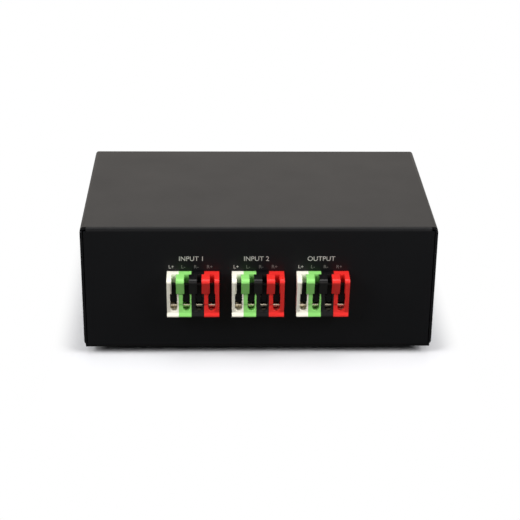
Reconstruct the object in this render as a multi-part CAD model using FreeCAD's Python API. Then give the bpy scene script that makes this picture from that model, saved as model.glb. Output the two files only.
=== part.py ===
"""Selector box that joins one of two amplifiers to one pair of speakers.

A folded steel cover closed by a flat base plate holds one circuit board. Three blocks of four
push terminals stand through the rear wall, and two buttons on the front drive a pair of
switches that are linked by a rocker, so that one is always in and the other out.

Sizes are millimetres. X runs to the right as seen from behind, Y from the rear wall to the
front, Z up. The origin is on the table, under the middle of the box.
"""
import FreeCAD
import Part
import math
import os

V = FreeCAD.Vector

# Case, measured over the cover and the base plate
case_width = 139.7
case_depth = 85.4
case_height = 52.3

# Cover: top and four walls folded from one sheet, open below
cover_sheet = 1.0
cover_bend = 1.6
seam_gap = 0.35
relief_width = 2.4
relief_drop = 1.7
relief_cut = 1.1
lip_width = 9.0
lip_end_gap = 1.2
lip_screw_inset = 5.3
lip_screw_setback = 12.0

# Base plate and feet
base_sheet = 1.2
base_inset = 0.5
foot_size = 12.7
foot_height = 3.5
foot_taper = 0.8
foot_inset_x = 16.0
foot_inset_y = 21.0

# M3 pan head screws, with clearance holes
screw_radius = 1.45
screw_length = 6.0
screw_head_radius = 2.8
screw_head_height = 2.0
thread_radius = 1.5
clear_radius = 1.7

# Board on hexagonal standoffs
standoff_length = 14.0
standoff_flats = 5.5
board_thickness = 1.6
board_width = 104.0
board_wall_gap = 0.6
board_front_setback = 10.0
board_screw_x = 47.0
board_screw_setback = 6.0
pin_below_board = 1.4
pin_slot_gap = 0.15

# Terminal blocks: four coloured pole housings that interlock side by side
block_spacing = 25.5
block_offset = -0.42
block_height = 16.9
block_cutout_gap = 0.25
pole_pitch = 5.0
first_trim = 0.4
end_wall = 0.95
pole_wall = 1.6
wire_radius = 1.4
wire_height = 3.5
face_reach = 5.7
lip_reach = 6.4
lip_toe = 0.5
lip_top = 1.6
split_height = 10.0
scoop_top = 5.3
scoop_step = 0.45
nose_reach = 8.2
nose_round = 1.5
nose_step = 0.45
bridge_reach = 2.7
inner_reach = 9.0
boss_overhang = 0.95
boss_width = 2.2
pocket_floor = 1.9
hinge_room = 0.4
pocket_gap = 0.3

# Levers, hinged in the housings on moulded trunnions
lever_side_gap = 0.075
lever_thickness = 1.45
lever_top = 14.3
lever_top_reach = 6.25
lever_foot_reach = 5.2
lever_foot_drop = 0.5
lever_edge = 0.4
lever_neck = 1.6
paddle_gap = 0.25
paddle_top = 9.2
hinge_reach = 3.5
hinge_height = 6.5
trunnion_radius = 0.8
trunnion_gap = 0.05
trunnion_length = 0.45
trunnion_rise = 0.3
tail_width = 0.75
tail_reach = 0.2
tail_thickness = 0.95
tail_root = 0.55
spring_clear = 0.1

# Clamp springs and contacts
spring_sheet = 0.25
spring_width = 2.5
spring_bend = 0.5
spring_nose = 2.3
spring_nose_rise = 1.6
spring_base_end = 7.5
spring_tip_reach = 5.5
contact_sheet = 0.5
contact_width = 2.4
contact_start = 0.6
contact_under = 6.5
contact_pin_width = 1.0
contact_gap = 0.05

# Switch pair behind the front wall
button_size = 12.0
button_length = 14.0
button_wall = 1.2
button_face = 1.5
button_edge = 0.8
button_gap = 0.2
button_in = 4.5
button_travel = 4.0
button_spacing = 20.0
button_axis = 26.15
socket_size = 6.4
socket_length = 9.0
stem_size = 4.0
stem_length = 38.0
stem_gap = 0.1
frame_sheet = 1.0
frame_bend = 1.4
frame_setback = 11.0
frame_length = 23.0
frame_tab = 2.0
rocker_zone = 9.5
rocker_sheet = 1.0
rocker_gap = 0.3
rocker_arm_width = 3.0
rocker_hub = 5.6
rocker_tab_width = 2.4
rocker_tab_length = 1.6
rocker_slot = 1.8
rocker_nose_tip = 4.1
rocker_nose_round = 0.6
rocker_nose_half = 1.5
rivet_radius = 1.5
rivet_head_radius = 2.4
rivet_head_height = 0.8
body_width = 12.0
body_length = 18.0
body_back_wall = 2.0
body_edge = 0.6
detent_sheet = 0.3
detent_leg = 6.0
detent_peak = 1.0
detent_foot = 1.3
detent_bend = 0.5
switch_pin_rows = 3
switch_pin_pitch = 4.0
switch_pin_inset = 2.0
switch_pin_size = 0.6

# Places that follow from the sizes
button_out = button_in + button_travel
rear_y = (nose_reach - case_depth - button_out) / 2
front_y = rear_y + case_depth
case_bottom = foot_height
case_top = case_bottom + case_height
plate_top = case_bottom + base_sheet
board_under = plate_top + standoff_length
board_top = board_under + board_thickness
board_rear = rear_y + cover_sheet + board_wall_gap
board_front = front_y - board_front_setback
block_width = 4 * pole_pitch + end_wall - first_trim
nose_knee = block_height - nose_round
slot_width = pole_pitch - boss_width - boss_overhang
channel_width = 2 * wire_radius
channel_right = pole_wall + channel_width
pocket_middle = pole_wall + wire_radius
pin_end = -(board_thickness + pin_below_board)
axis_z = case_bottom + button_axis
frame_face = front_y - frame_setback
body_face = frame_face - frame_sheet - rocker_zone
pivot_y = body_face + rocker_zone / 2 + detent_peak / 2
rocker_arm = button_spacing / 2
rocker_rest = math.asin(button_travel / 2 / rocker_arm)
rocker_under = axis_z + stem_size / 2 + rocker_gap
body_top = rocker_under + rocker_sheet + rocker_gap
frame_half = button_spacing / 2 + body_width / 2 + stem_gap + frame_sheet


def box(x0, x1, y0, y1, z0, z1):
    return Part.makeBox(x1 - x0, y1 - y0, z1 - z0, V(x0, y0, z0))


def rod(radius, start, end):
    run = end - start
    return Part.makeCylinder(radius, run.Length, start, run)


def joined(solids):
    whole = solids[0]
    if len(solids) > 1:
        whole = whole.fuse(solids[1:])
    return whole.removeSplitter()


def across_x(u, v):
    return V(0, u, v)


def across_y(u, v):
    return V(u, 0, v)


def across_z(u, v):
    return V(u, v, 0)


def rounded_face(corners, plane):
    """Face with straight sides; each corner is (u, v, radius)."""
    count = len(corners)
    starts = []
    edges = []
    ends = []
    for index in range(count):
        u, v, radius = corners[index]
        corner = V(u, v, 0)
        before = V(corners[index - 1][0], corners[index - 1][1], 0) - corner
        after = V(corners[(index + 1) % count][0], corners[(index + 1) % count][1], 0) - corner
        before.normalize()
        after.normalize()
        half = before.getAngle(after) / 2
        back = radius / math.tan(half)
        first = corner + before * back
        last = corner + after * back
        if radius > 0:
            middle = before + after
            middle.normalize()
            deep = corner + middle * (radius / math.sin(half) - radius)
            points = [plane(p.x, p.y) for p in (first, deep, last)]
            edges.append(Part.Arc(*points).toShape())
        starts.append(first)
        ends.append(last)
    for index in range(count):
        a = ends[index - 1]
        b = starts[index]
        if (b - a).Length > 1e-6:
            edges.append(Part.makeLine(plane(a.x, a.y), plane(b.x, b.y)))
    return Part.Face(Part.Wire(Part.__sortEdges__(edges)))


def prism_x(corners, x0, x1):
    face = rounded_face(corners, across_x)
    face.translate(V(x0, 0, 0))
    return face.extrude(V(x1 - x0, 0, 0))


def prism_y(corners, y0, y1):
    face = rounded_face(corners, across_y)
    face.translate(V(0, y0, 0))
    return face.extrude(V(0, y1 - y0, 0))


def prism_z(corners, z0, z1):
    face = rounded_face(corners, across_z)
    face.translate(V(0, 0, z0))
    return face.extrude(V(0, 0, z1 - z0))


def rectangle(u0, u1, v0, v1, radius=0.0):
    return [(u0, v0, radius), (u1, v0, radius), (u1, v1, radius), (u0, v1, radius)]


def beside(path, offset):
    """Points that run beside an open path, at a signed distance to its left."""
    points = [V(u, v, 0) for u, v in path]
    normals = []
    for a, b in zip(points, points[1:]):
        run = b - a
        run.normalize()
        normals.append(V(-run.y, run.x, 0))
    moved = [points[0] + normals[0] * offset]
    for point, n0, n1 in zip(points[1:], normals, normals[1:]):
        middle = n0 + n1
        middle.normalize()
        moved.append(point + middle * (offset / middle.dot(n0)))
    moved.append(points[-1] + normals[-1] * offset)
    return moved


def strip_corners(path, sheet, bends):
    """Outline of a bent strip: path is its middle line, bends the inner radius at each turn."""
    turns = [0.0]
    for a, b, c in zip(path, path[1:], path[2:]):
        turns.append((b[0] - a[0]) * (c[1] - b[1]) - (b[1] - a[1]) * (c[0] - b[0]))
    turns.append(0.0)
    left = []
    right = []
    rounds = [0.0] + bends + [0.0]
    for p, q, turn, inner in zip(beside(path, sheet / 2), beside(path, -sheet / 2), turns, rounds):
        outer = inner + sheet if inner else 0.0
        left.append((p.x, p.y, inner if turn > 0 else outer))
        right.append((q.x, q.y, outer if turn > 0 else inner))
    return left + right[::-1]


def save(name, solids):
    shape = solids[0] if len(solids) == 1 else Part.makeCompound(solids)
    shape.exportStep("parts/" + name + ".step")


def mirrored_places(x, y0, y1):
    return [(sx * x, y) for sx in (-1, 1) for y in (y0, y1)]


lip_screw_places = mirrored_places(
    case_width / 2 - lip_screw_inset, rear_y + lip_screw_setback, front_y - lip_screw_setback
)
board_screw_places = mirrored_places(
    board_screw_x, board_rear + board_screw_setback, board_front - board_screw_setback
)
foot_places = mirrored_places(
    case_width / 2 - foot_inset_x, rear_y + foot_inset_y, front_y - foot_inset_y
)
block_lefts = [
    block_offset + step * block_spacing - block_width / 2 - first_trim for step in (-1, 0, 1)
]
button_places = [-button_spacing / 2, button_spacing / 2]


def cover():
    """Folded steel: rounded bends, butted upright corners, notched where two bends meet."""
    half = case_width / 2
    bend = cover_bend
    inner_bend = cover_bend - cover_sheet
    low = plate_top
    outer = prism_y(rectangle(-half, half, low, case_top, bend), rear_y, front_y)
    ends = [(rear_y, low, 0), (front_y, low, 0), (front_y, case_top, bend), (rear_y, case_top, bend)]
    outer = outer.common(prism_x(ends, -half, half))
    x = half - cover_sheet
    top = case_top - cover_sheet
    y0 = rear_y + cover_sheet
    y1 = front_y - cover_sheet
    inner = prism_y(rectangle(-x, x, low + cover_sheet, top, inner_bend), y0, y1)
    ends = [(y0, low, 0), (y1, low, 0), (y1, top, inner_bend), (y0, top, inner_bend)]
    inner = inner.common(prism_x(ends, -x, x))
    sheet = outer.cut(inner)
    open_x = half - lip_width
    cuts = [box(-open_x, open_x, y0, y1, low - 1, low + cover_sheet + 1)]
    cuts += lip_ends(half, low, y0, y1)
    for side in (-1, 1):
        for wall, inward in ((rear_y, 1), (front_y, -1)):
            cuts.append(seam_slot(side, wall, inward, low))
            cuts.append(corner_notch(side, wall, inward))
    for left in block_lefts:
        cuts.append(block_cutout(left))
    for x in button_places:
        cuts.append(button_cutout(x))
    for x, y in lip_screw_places:
        cuts.append(rod(thread_radius, V(x, y, low - 1), V(x, y, low + cover_sheet + 1)))
    return sheet.cut(cuts).removeSplitter()


def lip_ends(half, low, y0, y1):
    """The lips stop short of the front and rear walls."""
    high = low + cover_sheet + cover_bend
    cuts = []
    for side in (-1, 1):
        xs = sorted((side * (half - cover_sheet), side * (half - lip_width - 1)))
        cuts.append(box(xs[0], xs[1], y0, y0 + lip_end_gap, low - 1, high))
        cuts.append(box(xs[0], xs[1], y1 - lip_end_gap, y1, low - 1, high))
    return cuts


def seam_slot(side, wall, inward, low):
    outer = side * (case_width / 2 - cover_sheet)
    xs = sorted((outer, outer - side * seam_gap))
    ys = sorted((wall - inward, wall + inward * (cover_sheet + cover_bend)))
    return box(xs[0], xs[1], ys[0], ys[1], low - 1, case_top - relief_drop)


def corner_notch(side, wall, inward):
    xs = sorted((side * (case_width / 2 + 1), side * (case_width / 2 - relief_width)))
    ys = sorted((wall - inward, wall + inward * relief_cut))
    return box(xs[0], xs[1], ys[0], ys[1], case_top - relief_drop, case_top + 1)


def block_cutout(left):
    gap = block_cutout_gap
    x0 = left + first_trim - gap
    x1 = x0 + block_width + 2 * gap
    z0 = board_top - gap
    z1 = board_top + block_height + gap
    return box(x0, x1, rear_y - 1, rear_y + cover_sheet + 1, z0, z1)


def button_cutout(x):
    reach = button_size / 2 + button_gap
    y0 = front_y - cover_sheet - 1
    return box(x - reach, x + reach, y0, front_y + 1, axis_z - reach, axis_z + reach)


def base_plate():
    x = case_width / 2 - base_inset
    y0 = rear_y + base_inset
    y1 = front_y - base_inset
    plate = box(-x, x, y0, y1, case_bottom, plate_top)
    holes = []
    for x, y in lip_screw_places:
        holes.append(rod(clear_radius, V(x, y, case_bottom - 1), V(x, y, plate_top + 1)))
    return plate.cut(holes)


def rubber_foot(x, y):
    """Square stick-on foot, narrower where it meets the table."""
    half = foot_size / 2
    wires = []
    for z, reach in ((0, half - foot_taper), (foot_height, half)):
        corners = [(x - reach, y - reach), (x + reach, y - reach), (x + reach, y + reach)]
        corners.append((x - reach, y + reach))
        wires.append(Part.makePolygon([V(u, v, z) for u, v in corners + corners[:1]]))
    return Part.makeLoft(wires, True, True)


def pan_screw(x, y, seat, toward):
    """Seat is the face under the head; toward is 1 where the head stands above it, -1 below."""
    head = rod(screw_head_radius, V(x, y, seat), V(x, y, seat + toward * screw_head_height))
    shank = rod(screw_radius, V(x, y, seat), V(x, y, seat - toward * screw_length))
    return joined([head, shank])


def standoff(x, y):
    """Hexagonal post pressed into the base plate, tapped from above."""
    radius = standoff_flats / math.sqrt(3)
    angles = [math.radians(60 * step) for step in range(6)]
    corners = [(x + radius * math.cos(a), y + radius * math.sin(a), 0) for a in angles]
    post = prism_z(corners, plate_top, board_under)
    depth = screw_length + 1
    return post.cut(rod(thread_radius, V(x, y, board_under - depth), V(x, y, board_under + 1)))


def circuit_board():
    half = board_width / 2
    board = box(-half, half, board_rear, board_front, board_under, board_top)
    low = board_under - 1
    high = board_top + 1
    holes = []
    for x, y in board_screw_places:
        holes.append(rod(clear_radius, V(x, y, low), V(x, y, high)))
    for x0, x1, y0, y1 in contact_pin_spots() + switch_pin_spots() + frame_tab_spots():
        gap = pin_slot_gap
        holes.append(box(x0 - gap, x1 + gap, y0 - gap, y1 + gap, low, high))
    return board.cut(holes)


def contact_pin_spots():
    spots = []
    y0 = rear_y + inner_reach + contact_gap
    for left in block_lefts:
        for pole in range(4):
            x = left + pole * pole_pitch + pocket_middle
            reach = contact_pin_width / 2
            spots.append((x - reach, x + reach, y0, y0 + contact_sheet))
    return spots


def switch_pin_spots():
    spots = []
    reach = switch_pin_size / 2
    first = body_face - body_length / 2 - (switch_pin_rows - 1) * switch_pin_pitch / 2
    for middle in button_places:
        for side in (-1, 1):
            x = middle + side * (body_width / 2 - switch_pin_inset)
            for row in range(switch_pin_rows):
                y = first + row * switch_pin_pitch
                spots.append((x - reach, x + reach, y - reach, y + reach))
    return spots


def frame_tab_spots():
    spots = []
    for side in (-1, 1):
        x = side * (frame_half - frame_sheet - frame_tab)
        spots.append((x - frame_tab / 2, x + frame_tab / 2, frame_face - frame_sheet, frame_face))
    return spots


def pole_housing(first, last):
    """Moulded pole: wire channel below, lever slot above, pocket for the contact behind.

    Its upper boss reaches over the pole on its left, which locks the row together. The front
    face is scooped to lead the wire in, and the outer walls of a block run down to the lip.
    """
    left = first_trim if first else 0
    right = pole_pitch + (end_wall if last else 0)
    side = [
        (-face_reach, lip_top, 0),
        (-lip_reach, lip_toe, 0),
        (-lip_reach, 0, 0),
        (inner_reach, 0, 0),
        (inner_reach, block_height, 0),
        (-bridge_reach, block_height, 0),
        (-bridge_reach, split_height, 0),
        (-face_reach, split_height, 0),
        (-face_reach, scoop_top, 0),
        (scoop_step - face_reach, scoop_top, 0),
    ]
    end = [
        (-face_reach, lip_top, 0),
        (-bridge_reach, lip_top, 0),
        (-bridge_reach, block_height, 0),
        (-nose_reach, block_height, nose_round),
        (-nose_reach, nose_knee, 0),
    ]
    nose = [
        (-bridge_reach, split_height, 0),
        (-bridge_reach, block_height, 0),
        (-nose_reach, block_height, nose_round),
        (-nose_reach, nose_knee, 0),
        (-face_reach - nose_step, split_height, 0),
    ]
    walls = [prism_x(side, left, right)]
    bosses = [prism_x(nose, pole_wall if first else -boss_overhang, boss_width)]
    if first:
        walls.append(prism_x(end, left, pole_wall))
    if last:
        walls.append(prism_x(end, channel_right, right))
        bosses.append(prism_x(nose, boss_width + slot_width, channel_right))
    return joined([joined(walls).cut(housing_cuts())] + bosses)


def housing_cuts():
    """Wire channel, the room behind it for lever and spring, the contact pocket and the seats."""
    deep = -bridge_reach
    out = -nose_reach - 1
    x0 = pole_wall
    x1 = channel_right
    spring_top_room = hinge_height + trunnion_radius + hinge_room
    contact_room = contact_under + contact_sheet + contact_gap
    return [
        box(x0, x1, out, deep, wire_height, split_height + 1),
        rod(wire_radius, V(pocket_middle, out, wire_height), V(pocket_middle, deep, wire_height)),
        box(x0, x1, deep, contact_start - pocket_gap, pocket_floor, spring_top_room),
        box(x0, x1, deep, inner_reach + 1, pocket_floor, contact_room),
        trunnion_seat(),
    ]


def half_round(radius, x0, x1, top):
    """Round below the hinge axis, straight-sided up to top."""
    y = -hinge_reach
    z = hinge_height
    rear = V(0, y - radius, z)
    front = V(0, y + radius, z)
    edges = [
        Part.Arc(rear, V(0, y, z - radius), front).toShape(),
        Part.makeLine(front, V(0, y + radius, top)),
        Part.makeLine(V(0, y + radius, top), V(0, y - radius, top)),
        Part.makeLine(V(0, y - radius, top), rear),
    ]
    face = Part.Face(Part.Wire(edges))
    face.translate(V(x0, 0, 0))
    return face.extrude(V(x1 - x0, 0, 0))


def trunnion_seat():
    """Slot in each side wall that the lever's trunnions drop into."""
    reach = trunnion_length + trunnion_gap
    gap = trunnion_radius + trunnion_gap
    y = -hinge_reach
    low = hinge_height - gap
    return box(pole_wall - reach, channel_right + reach, y - gap, y + gap, low, split_height)


def lever_front(z):
    """Reach of the lever's front face at a height."""
    low = hinge_height - lever_foot_drop
    share = (z - low) / (lever_top - low)
    return -lever_foot_reach - share * (lever_top_reach - lever_foot_reach)


def pole_lever():
    """Push lever: blade in the slot, wider paddle over the wire, half-round trunnions, slim tail."""
    middle = boss_width + slot_width / 2
    half = slot_width / 2 - lever_side_gap
    low = hinge_height - lever_foot_drop
    front = lever_front(lever_top)
    back = -hinge_reach + lever_foot_drop
    blade = [
        (front, lever_top - lever_edge, 0),
        (front + lever_edge, lever_top, 0),
        (front + lever_thickness, lever_top, 0),
        (back, hinge_height + lever_neck, 0),
        (back, hinge_height, 0),
        (-lever_foot_reach, low, 0),
    ]
    paddle = [
        (-lever_foot_reach, low, 0),
        (lever_front(paddle_top), paddle_top, 0),
        (lever_front(paddle_top) + lever_thickness, paddle_top, 0),
        (lever_thickness - lever_foot_reach, low, 0),
    ]
    reach = spring_top(tail_reach) + spring_clear
    tail = [
        (-hinge_reach, hinge_height + tail_root, 0),
        (tail_reach, reach + tail_thickness, 0),
        (tail_reach, reach, 0),
        (-hinge_reach, hinge_height - tail_root, 0),
    ]
    left = pole_wall - trunnion_length
    right = channel_right + trunnion_length
    pin = half_round(trunnion_radius, left, right, hinge_height + trunnion_rise)
    blade = prism_x(blade, middle - half, middle + half)
    paddle = prism_x(paddle, pole_wall + paddle_gap, channel_right - paddle_gap)
    tail = prism_x(tail, middle + half - tail_width, middle + half)
    return joined([blade, paddle, tail, pin])


def spring_line():
    low = pocket_floor + spring_sheet / 2
    tip = contact_under - spring_sheet / 2 - 2 * contact_gap
    return [
        (spring_base_end, low),
        (-spring_nose, low),
        (-spring_nose, low + spring_nose_rise),
        (spring_tip_reach, tip),
    ]


def spring_top(y):
    """Height of the upper side of the spring's sloping leg."""
    (y0, z0), (y1, z1) = spring_line()[2:]
    slope = (z1 - z0) / (y1 - y0)
    return z0 + slope * (y - y0) + spring_sheet / 2 * math.hypot(1, slope)


def clamp_spring():
    """Bent leaf: base leg on the pocket floor, upright nose behind the wire hole, sloping leg."""
    corners = strip_corners(spring_line(), spring_sheet, [spring_bend, 0.0])
    return prism_x(corners, pocket_middle - spring_width / 2, pocket_middle + spring_width / 2)


def contact():
    """Tinned strip under the pocket's roof, turned down behind the housing to a board pin."""
    z = contact_under + contact_sheet / 2
    y = inner_reach + contact_gap + contact_sheet / 2
    shoulder = contact_pin_width / 2
    line = [(contact_start, z), (y, z), (y, shoulder)]
    corners = strip_corners(line, contact_sheet, [0.0])
    strip = prism_x(corners, pocket_middle - contact_width / 2, pocket_middle + contact_width / 2)
    reach = contact_pin_width / 2
    y0 = y - contact_sheet / 2
    x0 = pocket_middle - reach
    x1 = pocket_middle + reach
    return joined([strip, box(x0, x1, y0, y0 + contact_sheet, pin_end, shoulder)])


def at_pole(shape, left, pole):
    placed = shape.copy()
    placed.translate(V(left + pole * pole_pitch, rear_y, board_top))
    return placed


def switch_frame():
    """Folded steel bridge: top and cheeks over the two switches, a front plate with two windows."""
    x = frame_half
    top = body_top + frame_sheet
    back = frame_face - frame_length
    inner_x = x - frame_sheet
    outer = [(-x, board_top, 0), (x, board_top, 0), (x, top, frame_bend), (-x, top, frame_bend)]
    bend = frame_bend - frame_sheet
    inner = [
        (-inner_x, board_top - 1, 0),
        (inner_x, board_top - 1, 0),
        (inner_x, body_top, bend),
        (-inner_x, body_top, bend),
    ]
    plate_back = frame_face - frame_sheet
    bridge = prism_y(outer, back, frame_face).cut(prism_y(inner, back - 1, plate_back))
    low = board_top + pin_end
    tabs = [box(x0, x1, y0, y1, low, board_top) for x0, x1, y0, y1 in frame_tab_spots()]
    z0 = axis_z - stem_size / 2 - stem_gap
    z1 = axis_z + stem_size / 2 + stem_gap
    cuts = [rod(rivet_radius, V(0, pivot_y, body_top - 1), V(0, pivot_y, top + 1))]
    for x in button_places:
        reach = stem_size / 2 + stem_gap
        cuts.append(box(x - reach, x + reach, plate_back - 1, frame_face + 1, z0, z1))
    return joined([bridge] + tabs).cut(cuts)


def switch_body(x):
    """Moulded switch case with a square bore for its plunger, closed at the back."""
    half = body_width / 2
    back = body_face - body_length
    shoulder = half - body_edge
    corners = [
        (x - half, board_top, 0),
        (x + half, board_top, 0),
        (x + half, body_top - body_edge, 0),
        (x + shoulder, body_top, 0),
        (x - shoulder, body_top, 0),
        (x - half, body_top - body_edge, 0),
    ]
    case = prism_y(corners, back, body_face)
    reach = stem_size / 2 + stem_gap
    y0 = back + body_back_wall
    return case.cut(box(x - reach, x + reach, y0, body_face + 1, axis_z - reach, axis_z + reach))


def cap_face(out):
    return front_y + (button_out if out else button_in)


def plunger(x, out):
    """Square stem with a cross slot for the rocker's tab."""
    half = stem_size / 2
    front = cap_face(out) - button_face
    stem = box(x - half, x + half, front - stem_length, front, axis_z - half, axis_z + half)
    y = pivot_y + (button_travel / 2 if out else -button_travel / 2)
    reach = rocker_slot / 2
    floor = rocker_under - rocker_tab_length - rocker_gap
    return stem.cut(box(x - half - 1, x + half + 1, y - reach, y + reach, floor, axis_z + half + 1))


def button_cap(x, out):
    """Hollow moulded cap with a square socket that grips the stem."""
    half = button_size / 2
    face = cap_face(out)
    back = face - button_length
    block = box(x - half, x + half, back, face, axis_z - half, axis_z + half)
    rims = [edge for edge in block.Edges if edge.BoundBox.YMin > face - 0.01]
    block = block.makeChamfer(button_edge, rims)
    inside = half - button_wall
    hollow = box(
        x - inside, x + inside, back - 1, face - button_face, axis_z - inside, axis_z + inside
    )
    socket = socket_size / 2
    post = box(
        x - socket, x + socket, face - button_face - socket_length, face - button_face,
        axis_z - socket, axis_z + socket,
    )
    grip = stem_size / 2 + contact_gap
    hole = box(x - grip, x + grip, back - 1, face - button_face, axis_z - grip, axis_z + grip)
    return joined([block.cut(hollow), post]).cut(hole)


def interlock_rocker():
    """Stamped rocker: a tab turned down at each end into a plunger, and a nose for the detent."""
    half = rocker_arm_width / 2
    hub = rocker_hub / 2
    top = rocker_under + rocker_sheet
    tab = rocker_tab_width / 2
    reach = rocker_arm + tab
    nose = [
        (rocker_nose_half, 0, 0),
        (-rocker_nose_half, 0, 0),
        (0, -rocker_nose_tip, rocker_nose_round),
    ]
    pieces = [
        box(-reach, reach, -half, half, rocker_under, top),
        box(-hub, hub, -hub, hub, rocker_under, top),
        prism_z(nose, rocker_under, top),
    ]
    for side in (-1, 1):
        x = side * rocker_arm
        low = rocker_under - rocker_tab_length
        y = rocker_sheet / 2
        pieces.append(box(x - tab, x + tab, -y, y, low, rocker_under))
    bore = rod(rivet_radius + trunnion_gap, V(0, 0, rocker_under - 1), V(0, 0, top + 1))
    rocker = joined(pieces).cut(bore)
    rocker.rotate(V(0, 0, 0), V(0, 0, 1), math.degrees(rocker_rest))
    rocker.translate(V(0, pivot_y, 0))
    return rocker


def rocker_rivet():
    """Headed pin from below, its upper end swaged flush with the frame."""
    low = rocker_under - trunnion_gap
    under = V(0, pivot_y, low - rivet_head_height)
    shank = rod(rivet_radius, V(0, pivot_y, low), V(0, pivot_y, body_top + frame_sheet))
    return joined([shank, rod(rivet_head_radius, under, V(0, pivot_y, low))])


def detent_spring():
    """Hat-shaped leaf held between the two switches; the rocker's nose snaps over its peak."""
    x = button_spacing / 2 - body_width / 2 - detent_sheet / 2
    face = body_face + detent_sheet
    line = [
        (-x, face - detent_leg),
        (-x, face),
        (-detent_foot, face),
        (0, face + detent_peak),
        (detent_foot, face),
        (x, face),
        (x, face - detent_leg),
    ]
    bends = [0.0, 0.0, detent_bend, 0.0, 0.0]
    corners = strip_corners(line, detent_sheet, bends)
    return prism_z(corners, rocker_under, rocker_under + rocker_sheet)


def switch_pins():
    low = board_top + pin_end
    return [box(x0, x1, y0, y1, low, board_top) for x0, x1, y0, y1 in switch_pin_spots()]


os.makedirs("parts", exist_ok=True)

save("cover", [cover()])
save("base_plate", [base_plate()])
save("rubber_feet", [rubber_foot(x, y) for x, y in foot_places])
save(
    "base_screws",
    [pan_screw(x, y, case_bottom, -1) for x, y in lip_screw_places],
)
save("board_standoffs", [standoff(x, y) for x, y in board_screw_places])
save("board_screws", [pan_screw(x, y, board_top, 1) for x, y in board_screw_places])
save("main_board", [circuit_board()])

poles = ("left_plus", "left_minus", "right_minus", "right_plus")
blocks = ("input_1", "input_2", "output")
lever = pole_lever()
spring = clamp_spring()
tab = contact()
for block, left in zip(blocks, block_lefts):
    for number, pole in enumerate(poles):
        housing = pole_housing(number == 0, number == len(poles) - 1)
        save(block + "_" + pole + "_housing", [at_pole(housing, left, number)])
        save(block + "_" + pole + "_lever", [at_pole(lever, left, number)])
        save(block + "_" + pole + "_spring", [at_pole(spring, left, number)])
    save(block + "_contacts", [at_pole(tab, left, number) for number in range(len(poles))])

save("switch_frame", [switch_frame()])
save("switch_pins", switch_pins())
save("interlock_rocker", [interlock_rocker()])
save("rocker_rivet", [rocker_rivet()])
save("detent_spring", [detent_spring()])
for name, x, out in (("left", button_places[0], False), ("right", button_places[1], True)):
    save("switch_body_" + name, [switch_body(x)])
    save("plunger_" + name, [plunger(x, out)])
    save("button_cap_" + name, [button_cap(x, out)])
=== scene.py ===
"""Looks of a speaker selector box, seen from behind and above.

A black powder-coated steel box with three blocks of coloured push terminals in its rear wall and
two interlocked push buttons in its front wall. Lengths are metres; mm is one millimetre.
"""

import math

import bmesh
import bpy
from mathutils import Matrix, Vector


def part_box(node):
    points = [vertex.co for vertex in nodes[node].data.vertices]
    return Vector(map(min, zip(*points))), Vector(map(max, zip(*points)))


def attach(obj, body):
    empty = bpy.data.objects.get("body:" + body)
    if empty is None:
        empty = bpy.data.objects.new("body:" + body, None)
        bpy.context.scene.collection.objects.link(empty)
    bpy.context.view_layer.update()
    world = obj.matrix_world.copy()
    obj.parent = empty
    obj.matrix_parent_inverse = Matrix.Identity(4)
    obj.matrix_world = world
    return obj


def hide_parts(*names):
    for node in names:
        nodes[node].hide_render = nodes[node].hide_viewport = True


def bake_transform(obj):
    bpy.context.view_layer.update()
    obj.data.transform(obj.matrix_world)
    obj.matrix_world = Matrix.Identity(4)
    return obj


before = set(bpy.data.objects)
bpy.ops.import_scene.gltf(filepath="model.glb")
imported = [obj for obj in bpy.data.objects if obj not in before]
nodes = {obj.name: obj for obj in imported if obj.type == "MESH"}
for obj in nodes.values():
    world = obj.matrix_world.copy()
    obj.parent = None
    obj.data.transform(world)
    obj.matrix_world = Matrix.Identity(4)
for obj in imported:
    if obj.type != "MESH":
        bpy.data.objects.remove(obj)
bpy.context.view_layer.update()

# Cover and base plate: the cover is one sheet of 1 mm steel folded to a top and four walls, with
# butted upright corners, over a flat plate. Both are powder coated: the melted powder leaves a
# satin black skin with a fine pebble, a little smoother in some places than in others.
mm = 0.001
powder_black = "#0b0c0f"
powder_gloss = 0.2
powder_pebble = 0.55 * mm
powder_depth = 0.03 * mm
powder_cloud = 18 * mm
sheet_edge = 0.12 * mm
least_fold = math.radians(20)
seam_reach = 0.001 * mm


def linear(colour):
    """Linear RGBA of an sRGB hex colour."""
    parts = [int(colour[at:at + 2], 16) / 255 for at in (1, 3, 5)]
    return [p / 12.92 if p <= 0.04045 else ((p + 0.055) / 1.055) ** 2.4 for p in parts] + [1.0]


def add(tree, kind, settings, links=None):
    """Add a shader node with its properties, socket values and links from (node, output) pairs."""
    node = tree.nodes.new("ShaderNode" + kind)
    for name, value in settings.items():
        if isinstance(name, str) and hasattr(node, name):
            setattr(node, name, value)
        else:
            node.inputs[name].default_value = value
    for name, (source, output) in (links or {}).items():
        tree.links.new(source.outputs[output], node.inputs[name])
    return node


def start_material(name):
    """An empty material, its tree and its coordinates, which are metres in the part's own frame."""
    made = bpy.data.materials.new(name)
    made.use_nodes = True
    made.node_tree.nodes.clear()
    place = add(made.node_tree, "TexCoord", {})
    return made, made.node_tree, place


def end_material(tree, shader):
    """Send the finished shader to the surface."""
    add(tree, "OutputMaterial", {}, {"Surface": (shader, 0)})


def dress(names, finish):
    """Give CAD nodes or new pieces their material."""
    for name in names:
        piece = nodes.get(name) or bpy.data.objects[name]
        piece.data.materials.clear()
        piece.data.materials.append(finish)


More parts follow.
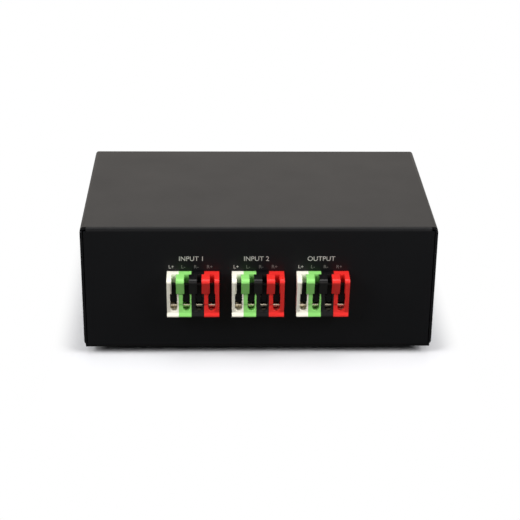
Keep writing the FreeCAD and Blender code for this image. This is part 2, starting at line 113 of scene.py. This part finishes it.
def soften(names, width):
    """Break the sharp edges of CAD nodes, as tooling and coating do; flat faces stay flat."""
    for name in names:
        weld = nodes[name].modifiers.new("joined_faces", "WELD")
        weld.merge_threshold = seam_reach
        edge = nodes[name].modifiers.new("soft_edges", "BEVEL")
        edge.width = width
        edge.segments = 2
        edge.limit_method = "ANGLE"
        edge.angle_limit = least_fold
        level = nodes[name].modifiers.new("flat_faces", "WEIGHTED_NORMAL")
        level.weight = 100


powder_coat, tree, place = start_material("powder_coated_steel")
cloud = add(
    tree, "TexNoise", {"Scale": 1 / powder_cloud, "Detail": 2.0}, {"Vector": (place, "Object")}
)
pebble = add(
    tree, "TexNoise", {"Scale": 1 / powder_pebble, "Detail": 1.5, "Roughness": 0.45},
    {"Vector": (place, "Object")},
)
sheen = add(tree, "MapRange", {"To Min": 0.36, "To Max": 0.46}, {"Value": (cloud, "Fac")})
bump = add(
    tree, "Bump", {"Strength": 0.2, "Distance": powder_depth}, {"Height": (pebble, "Fac")}
)
end_material(tree, add(
    tree, "BsdfPrincipled",
    {"Base Color": linear(powder_black), "Specular IOR Level": powder_gloss},
    {"Roughness": (sheen, "Result"), "Normal": (bump, "Normal")},
))
dress(["cover", "base_plate"], powder_coat)
soften(["cover", "base_plate"], sheet_edge)

# Feet: four square stick-on feet of moulded rubber, tapered so that they leave the mould. Rubber
# is dull and nearly black, with a fine grain and rounded edges.
rubber_black = "#1d1d1e"
rubber_grain = 0.8 * mm
rubber_depth = 0.05 * mm
foot_edge = 0.3 * mm
rubber, tree, place = start_material("moulded_rubber")
grain = add(
    tree, "TexNoise", {"Scale": 1 / rubber_grain, "Detail": 3.0}, {"Vector": (place, "Object")}
)
bump = add(tree, "Bump", {"Strength": 0.3, "Distance": rubber_depth}, {"Height": (grain, "Fac")})
end_material(tree, add(
    tree, "BsdfPrincipled", {"Base Color": linear(rubber_black), "Roughness": 0.75},
    {"Normal": (bump, "Normal")},
))
dress(["rubber_feet"], rubber)
soften(["rubber_feet"], foot_edge)

# Fasteners: black oxide screws from below, zinc plated standoffs and screws inside. Zinc plate is
# a cool bright grey and black oxide a dark oily skin. Their grain is far finer than 1.2 mm, and
# is drawn that coarse so that it shows.
oxide_black = "#1b1b1d"
zinc_grey = "#b9bcc0"
plate_grain = 1.2 * mm
plate_depth = 0.02 * mm


def plated(name, colour, roughness):
    """Plated or bright metal, whose gloss wanders a little from spot to spot."""
    made, tree, place = start_material(name)
    grain = add(
        tree, "TexNoise", {"Scale": 1 / plate_grain, "Detail": 4.0}, {"Vector": (place, "Object")}
    )
    gloss = add(
        tree, "MapRange", {"To Min": roughness - 0.06, "To Max": roughness + 0.08},
        {"Value": (grain, "Fac")},
    )
    bump = add(tree, "Bump", {"Strength": 0.1, "Distance": plate_depth}, {"Height": (grain, "Fac")})
    end_material(tree, add(
        tree, "BsdfPrincipled", {"Base Color": linear(colour), "Metallic": 1.0},
        {"Roughness": (gloss, "Result"), "Normal": (bump, "Normal")},
    ))
    return made


dress(["base_screws"], plated("black_oxide_steel", oxide_black, 0.42))
zinc = plated("zinc_plated_steel", zinc_grey, 0.3)
dress(["board_standoffs", "board_screws"], zinc)

# Main board: glass laminate under green solder mask, a smooth lacquer over the weave, screwed to
# the standoffs. The threads lie about 0.5 mm apart and are drawn coarser so that they show.
mask_green = "#145a30"
weave_pitch = 2.369 * mm
wave_repeat = math.tau / 20
weave_depth = 0.02 * mm
laminate, tree, place = start_material("solder_masked_laminate")
weave = add(
    tree, "TexWave", {"Scale": wave_repeat / weave_pitch, "Distortion": 0.4},
    {"Vector": (place, "Object")},
)
bump = add(tree, "Bump", {"Strength": 0.15, "Distance": weave_depth}, {"Height": (weave, "Fac")})
end_material(tree, add(
    tree, "BsdfPrincipled",
    {"Base Color": linear(mask_green), "Roughness": 0.3, "Coat Weight": 0.4},
    {"Normal": (bump, "Normal")},
))
dress(["main_board"], laminate)

# Terminal blocks: twelve housings moulded in coloured ABS, four to a block, that lock side by
# side, each with a duller nylon push lever, a bent spring leaf and a tinned contact. The ABS is
# glossy where the mould polished it and a little cloudy from the flow; the leaves are bright.
blocks = ["input_1", "input_2", "output"]
poles = {
    "left_plus": "#f2efe2",
    "left_minus": "#8cd773",
    "right_minus": "#0d0d0f",
    "right_plus": "#e12c28",
}
pole_gloss = 0.4
lever_black = "#0e0e0f"
lever_gloss = 0.12
spring_warm = "#fdf3dd"
tin_grey = "#d8d3c6"
flow_size = 3.0 * mm
flow_depth = 0.05 * mm
mould_edge = 0.14 * mm
lever_round = 0.12 * mm
leaf_sheet = 0.25 * mm
leaf_rise = 1.6 * mm
leaf_run = 7.8 * mm
leaf_low_bend = 0.625 * mm
leaf_high_bend = 0.35 * mm
leaf_edge_angle = math.radians(40)


def moulded(name, colour, roughness, gloss_level=0.5):
    """Injection moulded plastic: a gloss that wanders a little with the flow."""
    made, tree, place = start_material(name)
    flow = add(
        tree, "TexNoise", {"Scale": 1 / flow_size, "Detail": 3.0}, {"Vector": (place, "Object")}
    )
    gloss = add(
        tree, "MapRange", {"To Min": roughness - 0.05, "To Max": roughness + 0.08},
        {"Value": (flow, "Fac")},
    )
    bump = add(tree, "Bump", {"Strength": 0.08, "Distance": flow_depth}, {"Height": (flow, "Fac")})
    end_material(tree, add(
        tree, "BsdfPrincipled",
        {"Base Color": linear(colour), "Specular IOR Level": gloss_level},
        {"Roughness": (gloss, "Result"), "Normal": (bump, "Normal")},
    ))
    return made


def bent_line(corners, bends, steps=8):
    """Points along a path with rounded inner corners; only its last run is divided."""
    line = [corners[0]]
    for before, corner, after, bend in zip(corners, corners[1:], corners[2:], bends):
        back = (before - corner).normalized()
        on = (after - corner).normalized()
        half = back.angle(on) / 2
        middle = corner + (back + on).normalized() * (bend / math.sin(half))
        start = corner + back * (bend / math.tan(half)) - middle
        end = corner + on * (bend / math.tan(half)) - middle
        # slerp gives unit vectors, so the bend's radius is put back.
        line += [middle + start.slerp(end, step / steps) * bend for step in range(steps + 1)]
    last = line[-1]
    return line + [last.lerp(corners[-1], step / steps) for step in range(1, steps + 1)]


def strip(name, line, across, sheet):
    """Mesh of a flat strip that follows a line, half a width across to each side."""
    shape = bmesh.new()
    rings = []
    for at, point in enumerate(line):
        run = line[min(at + 1, len(line) - 1)] - line[max(at - 1, 0)]
        up = run.cross(Vector((1, 0, 0))).normalized() * sheet / 2
        places = (
            point - across - up, point + across - up,
            point + across + up, point - across + up,
        )
        rings.append([shape.verts.new(place) for place in places])
    for one, two in zip(rings, rings[1:]):
        for at in range(4):
            shape.faces.new((one[at], one[at - 1], two[at - 1], two[at]))
    shape.faces.new(rings[0])
    shape.faces.new(rings[-1][::-1])
    bmesh.ops.recalc_face_normals(shape, faces=shape.faces)
    made = bpy.data.meshes.new(name)
    shape.to_mesh(made)
    shape.free()
    made.shade_smooth()
    made.set_sharp_from_angle(angle=leaf_edge_angle)
    return made


def leaf_spring(name, node):
    """Bent leaf in place of the plain spring, with a sloping leg for the lever to press on."""
    low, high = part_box(node)
    x = (low.x + high.x) / 2
    nose = low.y + leaf_sheet / 2
    foot = low.z + leaf_sheet / 2
    corners = [
        Vector((x, high.y, foot)),
        Vector((x, nose, foot)),
        Vector((x, nose, foot + leaf_rise)),
        Vector((x, nose + leaf_run, high.z - leaf_sheet / 2)),
    ]
    line = bent_line(corners, [leaf_low_bend, leaf_high_bend])
    across = Vector(((high.x - low.x) / 2, 0, 0))
    piece = bpy.data.objects.new(name, strip(name, line, across, leaf_sheet))
    bpy.context.scene.collection.objects.link(piece)
    dress([name], spring_steel)
    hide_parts(node)
    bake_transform(piece)


spring_steel = plated("bright_spring_steel", spring_warm, 0.25)
tinned = plated("tinned_brass", tin_grey, 0.25)
lever_nylon = moulded("moulded_black_nylon", lever_black, 0.5, lever_gloss)
for pole, colour in poles.items():
    housing_abs = moulded("moulded_abs_" + pole, colour, 0.3, pole_gloss)
    for block in blocks:
        name = block + "_" + pole
        dress([name + "_housing"], housing_abs)
        dress([name + "_lever"], lever_nylon)
        leaf_spring(name + "_leaf", name + "_spring")
        soften([name + "_housing"], mould_edge)
        soften([name + "_lever"], lever_round)
dress([block + "_contacts" for block in blocks], tinned)

# Switch pair: a folded zinc plated frame over two switches moulded in dark PBT, with tinned pins
# and acetal stems, and a rocker on a rivet that lets only one stem be in. Acetal is a waxy
# off-white with a soft gloss.
acetal_white = "#dcdad0"
switch_grey = "#303134"
dress(["switch_frame", "interlock_rocker", "rocker_rivet"], zinc)
dress(["detent_spring"], spring_steel)
dress(["switch_pins"], tinned)
dress(["switch_body_left", "switch_body_right"], moulded("moulded_grey_pbt", switch_grey, 0.45))
dress(["plunger_left", "plunger_right"], moulded("moulded_acetal", acetal_white, 0.35))

# Button caps: two hollow caps moulded in black ABS and pushed onto the stems, with a chamfer
# round the face. The ABS is satin, so that the chamfer catches the light.
cap_black = "#252528"
cap_edge = 0.2 * mm
dress(["button_cap_left", "button_cap_right"], moulded("satin_black_abs", cap_black, 0.4))
soften(["button_cap_left", "button_cap_right"], cap_edge)

# Printed marks: screen printed ink on the rear wall, a generic name over each block and a
# polarity mark over each pole, all but the first of them faint. The ink is dull and thin, and
# breaks where the powder's pebble stands proud.
ink_grey = "#bbbbb7"
ink_dim = "#70706d"
ink_lift = 0.015 * mm
ink_speck = 0.3 * mm
block_names = ["INPUT 1", "INPUT 2", "OUTPUT"]
name_height = 1.95 * mm
name_rise = 41.75 * mm
name_shift = -0.65 * mm
pole_marks = ["L+", "L-", "R-", "R+"]
mark_height = 1.45 * mm
mark_rise = 38.5 * mm
mark_shift = -0.2 * mm
capital_share = 0.7


def printed(name, colour):
    """Screen printed ink: dull, and a little broken where the pebble of the powder shows."""
    made, tree, place = start_material(name)
    speck = add(tree, "TexNoise", {"Scale": 1 / ink_speck}, {"Vector": (place, "Object")})
    gloss = add(tree, "MapRange", {"To Min": 0.5, "To Max": 0.7}, {"Value": (speck, "Fac")})
    cover_share = add(
        tree, "MapRange", {"From Min": 0.25, "From Max": 0.45}, {"Value": (speck, "Fac")}
    )
    tone = add(
        tree, "MixRGB", {"Color1": linear(powder_black), "Color2": linear(colour)},
        {"Fac": (cover_share, "Result")},
    )
    end_material(tree, add(
        tree, "BsdfPrincipled", {"Specular IOR Level": powder_gloss},
        {"Base Color": (tone, "Color"), "Roughness": (gloss, "Result")},
    ))
    return made


def print_text(name, words, x, z, height, align, finish):
    """Flat lettering on the rear wall, centred on x or starting there, its foot at z."""
    curve = bpy.data.curves.new(name, "FONT")
    curve.body = words
    curve.size = height / capital_share
    curve.align_x = align
    curve.extrude = ink_lift / 2
    flat = bpy.data.objects.new(name + "_curve", curve)
    piece = bpy.data.objects.new(name, bpy.data.meshes.new_from_object(flat))
    bpy.data.objects.remove(flat)
    bpy.context.scene.collection.objects.link(piece)
    upright = Matrix.Rotation(math.pi / 2, 4, "X")
    piece.data.transform(Matrix.Translation((x, wall_y - ink_lift / 2, z)) @ upright)
    dress([name], finish)
    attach(piece, "case")


bright_ink = printed("screen_printed_ink", ink_grey)
faint_ink = printed("faint_printed_ink", ink_dim)
wall_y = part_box("cover")[0].y
for block, words in zip(blocks, block_names):
    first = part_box(block + "_left_plus_housing")[0].x
    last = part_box(block + "_right_plus_housing")[1].x
    middle = (first + last) / 2 + name_shift
    print_text(block + "_name", words, middle, name_rise, name_height, "CENTER", bright_ink)
    for pole, mark in zip(poles, pole_marks):
        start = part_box(block + "_" + pole + "_lever")[0].x + mark_shift
        ink = bright_ink if pole == "left_plus" else faint_ink
        print_text(block + "_" + pole + "_mark", mark, start, mark_rise, mark_height, "LEFT", ink)

# Stage: a pale matt floor that runs out to white. Near the box it takes the shadow, and it sends
# less light back up than the eye sees, as a floor under high lamps on the camera's side does. From
# below it is clear, so that the underside can be seen.
floor_seen = "#e1e2e6"
floor_bounce = "#646461"
floor_radius = 3.0
white_beside = (71 * mm, 84 * mm)
white_before = (56 * mm, 90 * mm)
white_mirrored = (400 * mm, 800 * mm)
bpy.ops.mesh.primitive_circle_add(vertices=96, radius=floor_radius, fill_type="NGON")
floor = bpy.context.object
floor.name = "floor"
pale, tree, place = start_material("pale_floor")
ray = add(tree, "LightPath", {})
reach = add(tree, "VectorMath", {"operation": "LENGTH"}, {"Vector": (place, "Object")})
apart = add(tree, "VectorMath", {"operation": "ABSOLUTE"}, {"Vector": (place, "Object")})
apart = add(tree, "SeparateXYZ", {}, {"Vector": (apart, "Vector")})
beside = add(
    tree, "MapRange",
    {
        "From Min": white_beside[0], "From Max": white_beside[1],
        "interpolation_type": "SMOOTHSTEP",
    },
    {"Value": (apart, "X")},
)
before = add(
    tree, "MapRange",
    {
        "From Min": white_before[0], "From Max": white_before[1],
        "interpolation_type": "SMOOTHSTEP",
    },
    {"Value": (apart, "Y")},
)
beyond = add(
    tree, "MapRange",
    {
        "From Min": white_mirrored[0], "From Max": white_mirrored[1],
        "interpolation_type": "SMOOTHSTEP",
    },
    {"Value": (reach, "Value")},
)
outside = add(
    tree, "Math", {"operation": "MAXIMUM"}, {0: (beside, "Result"), 1: (before, "Result")}
)
seen = add(
    tree, "Math", {"operation": "MULTIPLY"}, {0: (ray, "Is Camera Ray"), 1: (outside, "Value")}
)
mirror = add(
    tree, "Math", {"operation": "MAXIMUM"},
    {0: (ray, "Is Glossy Ray"), 1: (ray, "Is Transmission Ray")},
)
mirrored = add(
    tree, "Math", {"operation": "MULTIPLY"}, {0: (mirror, "Value"), 1: (beyond, "Result")}
)
share = add(
    tree, "Math", {"operation": "MAXIMUM"}, {0: (seen, "Value"), 1: (mirrored, "Value")}
)
shade = add(
    tree, "MixRGB", {"Color1": linear(floor_bounce), "Color2": linear(floor_seen)},
    {"Fac": (ray, "Is Camera Ray")},
)
dull = add(tree, "BsdfDiffuse", {}, {"Color": (shade, 0)})
white = add(tree, "Emission", {"Strength": 1.0})
floor_top = add(tree, "MixShader", {}, {0: (share, "Value"), 1: (dull, 0), 2: (white, 0)})
side = add(tree, "NewGeometry", {})
clear = add(tree, "BsdfTransparent", {})
end_material(tree, add(
    tree, "MixShader", {}, {0: (side, "Backfacing"), 1: (floor_top, 0), 2: (clear, 0)}
))
floor.data.materials.append(pale)

# Surround: white to the eye and a dim fill for diffuse light. For reflections it is a white
# backdrop behind the box, and on the camera's side a bright table that ends in a dark room. The
# slopes are how steeply a reflected ray rises, and how far it turns to the back.
fill_strength = 0.05
backdrop_strength = 1.0
backdrop_white = "#fff7ee"
backdrop_slope = (-0.2, 0.4)
table_strength = 1.0
room_strength = 0.08
room_slope = (0.30, 0.65)
world = bpy.data.worlds.new("surround")
bpy.context.scene.world = world
world.use_nodes = True
tree = world.node_tree
tree.nodes.clear()
ray = add(tree, "LightPath", {})
place = add(tree, "TexCoord", {})
way = add(tree, "SeparateXYZ", {}, {"Vector": (place, "Generated")})
room = add(
    tree, "MapRange",
    {
        "From Min": room_slope[0], "From Max": room_slope[1],
        "To Min": table_strength, "To Max": room_strength,
        "interpolation_type": "SMOOTHSTEP",
    },
    {"Value": (way, "Z")},
)
back = add(
    tree, "MapRange",
    {
        "From Min": backdrop_slope[0], "From Max": backdrop_slope[1],
        "To Max": backdrop_strength,
        "interpolation_type": "SMOOTHSTEP",
    },
    {"Value": (way, "Y"), "To Min": (room, "Result")},
)
fill = add(tree, "Background", {"Color": linear("#ffffff"), "Strength": fill_strength})
mirror = add(tree, "Background", {"Color": linear(backdrop_white)}, {"Strength": (back, "Result")})
plain = add(tree, "Background", {"Color": linear("#ffffff"), "Strength": 1.0})
lit = add(tree, "MixShader", {}, {0: (ray, "Is Glossy Ray"), 1: (fill, 0), 2: (mirror, 0)})
seen = add(tree, "MixShader", {}, {0: (ray, "Is Camera Ray"), 1: (lit, 0), 2: (plain, 0)})
add(tree, "OutputWorld", {}, {"Surface": (seen, 0)})

# Lamps: two soft boxes, one to each side of the camera, whose light doesn't reach the backs of
# the narrow lever slots, one above, and a weak one on the far side for the buttons. Turn is in
# degrees round the box from the camera's side, rise in degrees above the floor, power in watts.
lamps = {
    "left_lamp": {"turn": -60, "rise": 35, "size": 0.6, "power": 10.3},
    "right_lamp": {"turn": 60, "rise": 35, "size": 0.6, "power": 10.3},
    "far_lamp": {"turn": 180, "rise": 48, "size": 0.6, "power": 1.3},
    "top_lamp": {"turn": 0, "rise": 86, "size": 0.8, "power": 5.3},
}
lamp_white = "#fffefc"
lamp_distance = 1.1
aim = Vector((0, 0, 30 * mm))
for name, spot in lamps.items():
    turn = math.radians(spot["turn"])
    rise = math.radians(spot["rise"])
    level = math.cos(rise)
    out = Vector((math.sin(turn) * level, -math.cos(turn) * level, math.sin(rise)))
    lamp = bpy.data.lights.new(name, "AREA")
    lamp.size = spot["size"]
    lamp.energy = spot["power"]
    lamp.color = linear(lamp_white)[:3]
    stand = bpy.data.objects.new(name, lamp)
    stand.location = aim + out * lamp_distance
    stand.rotation_euler = (-out).to_track_quat("-Z", "Y").to_euler()
    bpy.context.scene.collection.objects.link(stand)

# Camera: behind the box and about 25 degrees above it, a little to the left. It was fitted to the
# box's corners. It stands where the distances from the rear wall and the base plate's foot put it.
camera_side = -15.4 * mm
camera_back = 517.8 * mm
camera_rise = 279.3 * mm
camera_pitch = math.radians(24.92)
camera_roll = math.radians(0.69)
camera_yaw = math.radians(1.74)
focal_pixels = 1455.6
picture_pixels = 520
camera_data = bpy.data.cameras.new("camera")
camera_data.sensor_width = 36
camera_data.lens = focal_pixels / picture_pixels * camera_data.sensor_width
camera = bpy.data.objects.new("camera", camera_data)
bpy.context.scene.collection.objects.link(camera)
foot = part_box("base_plate")[0].z
spot = Vector((camera_side, wall_y - camera_back, foot + camera_rise))
level_view = Matrix.Rotation(math.pi / 2, 4, "X")
turned = Matrix.Rotation(-camera_yaw, 4, "Z") @ Matrix.Rotation(-camera_pitch, 4, "X")
rolled = Matrix.Rotation(-camera_roll, 4, "Y") @ level_view
camera.matrix_world = Matrix.Translation(spot) @ turned @ rolled
bpy.context.scene.camera = camera
bpy.context.scene.view_settings.view_transform = "Standard"
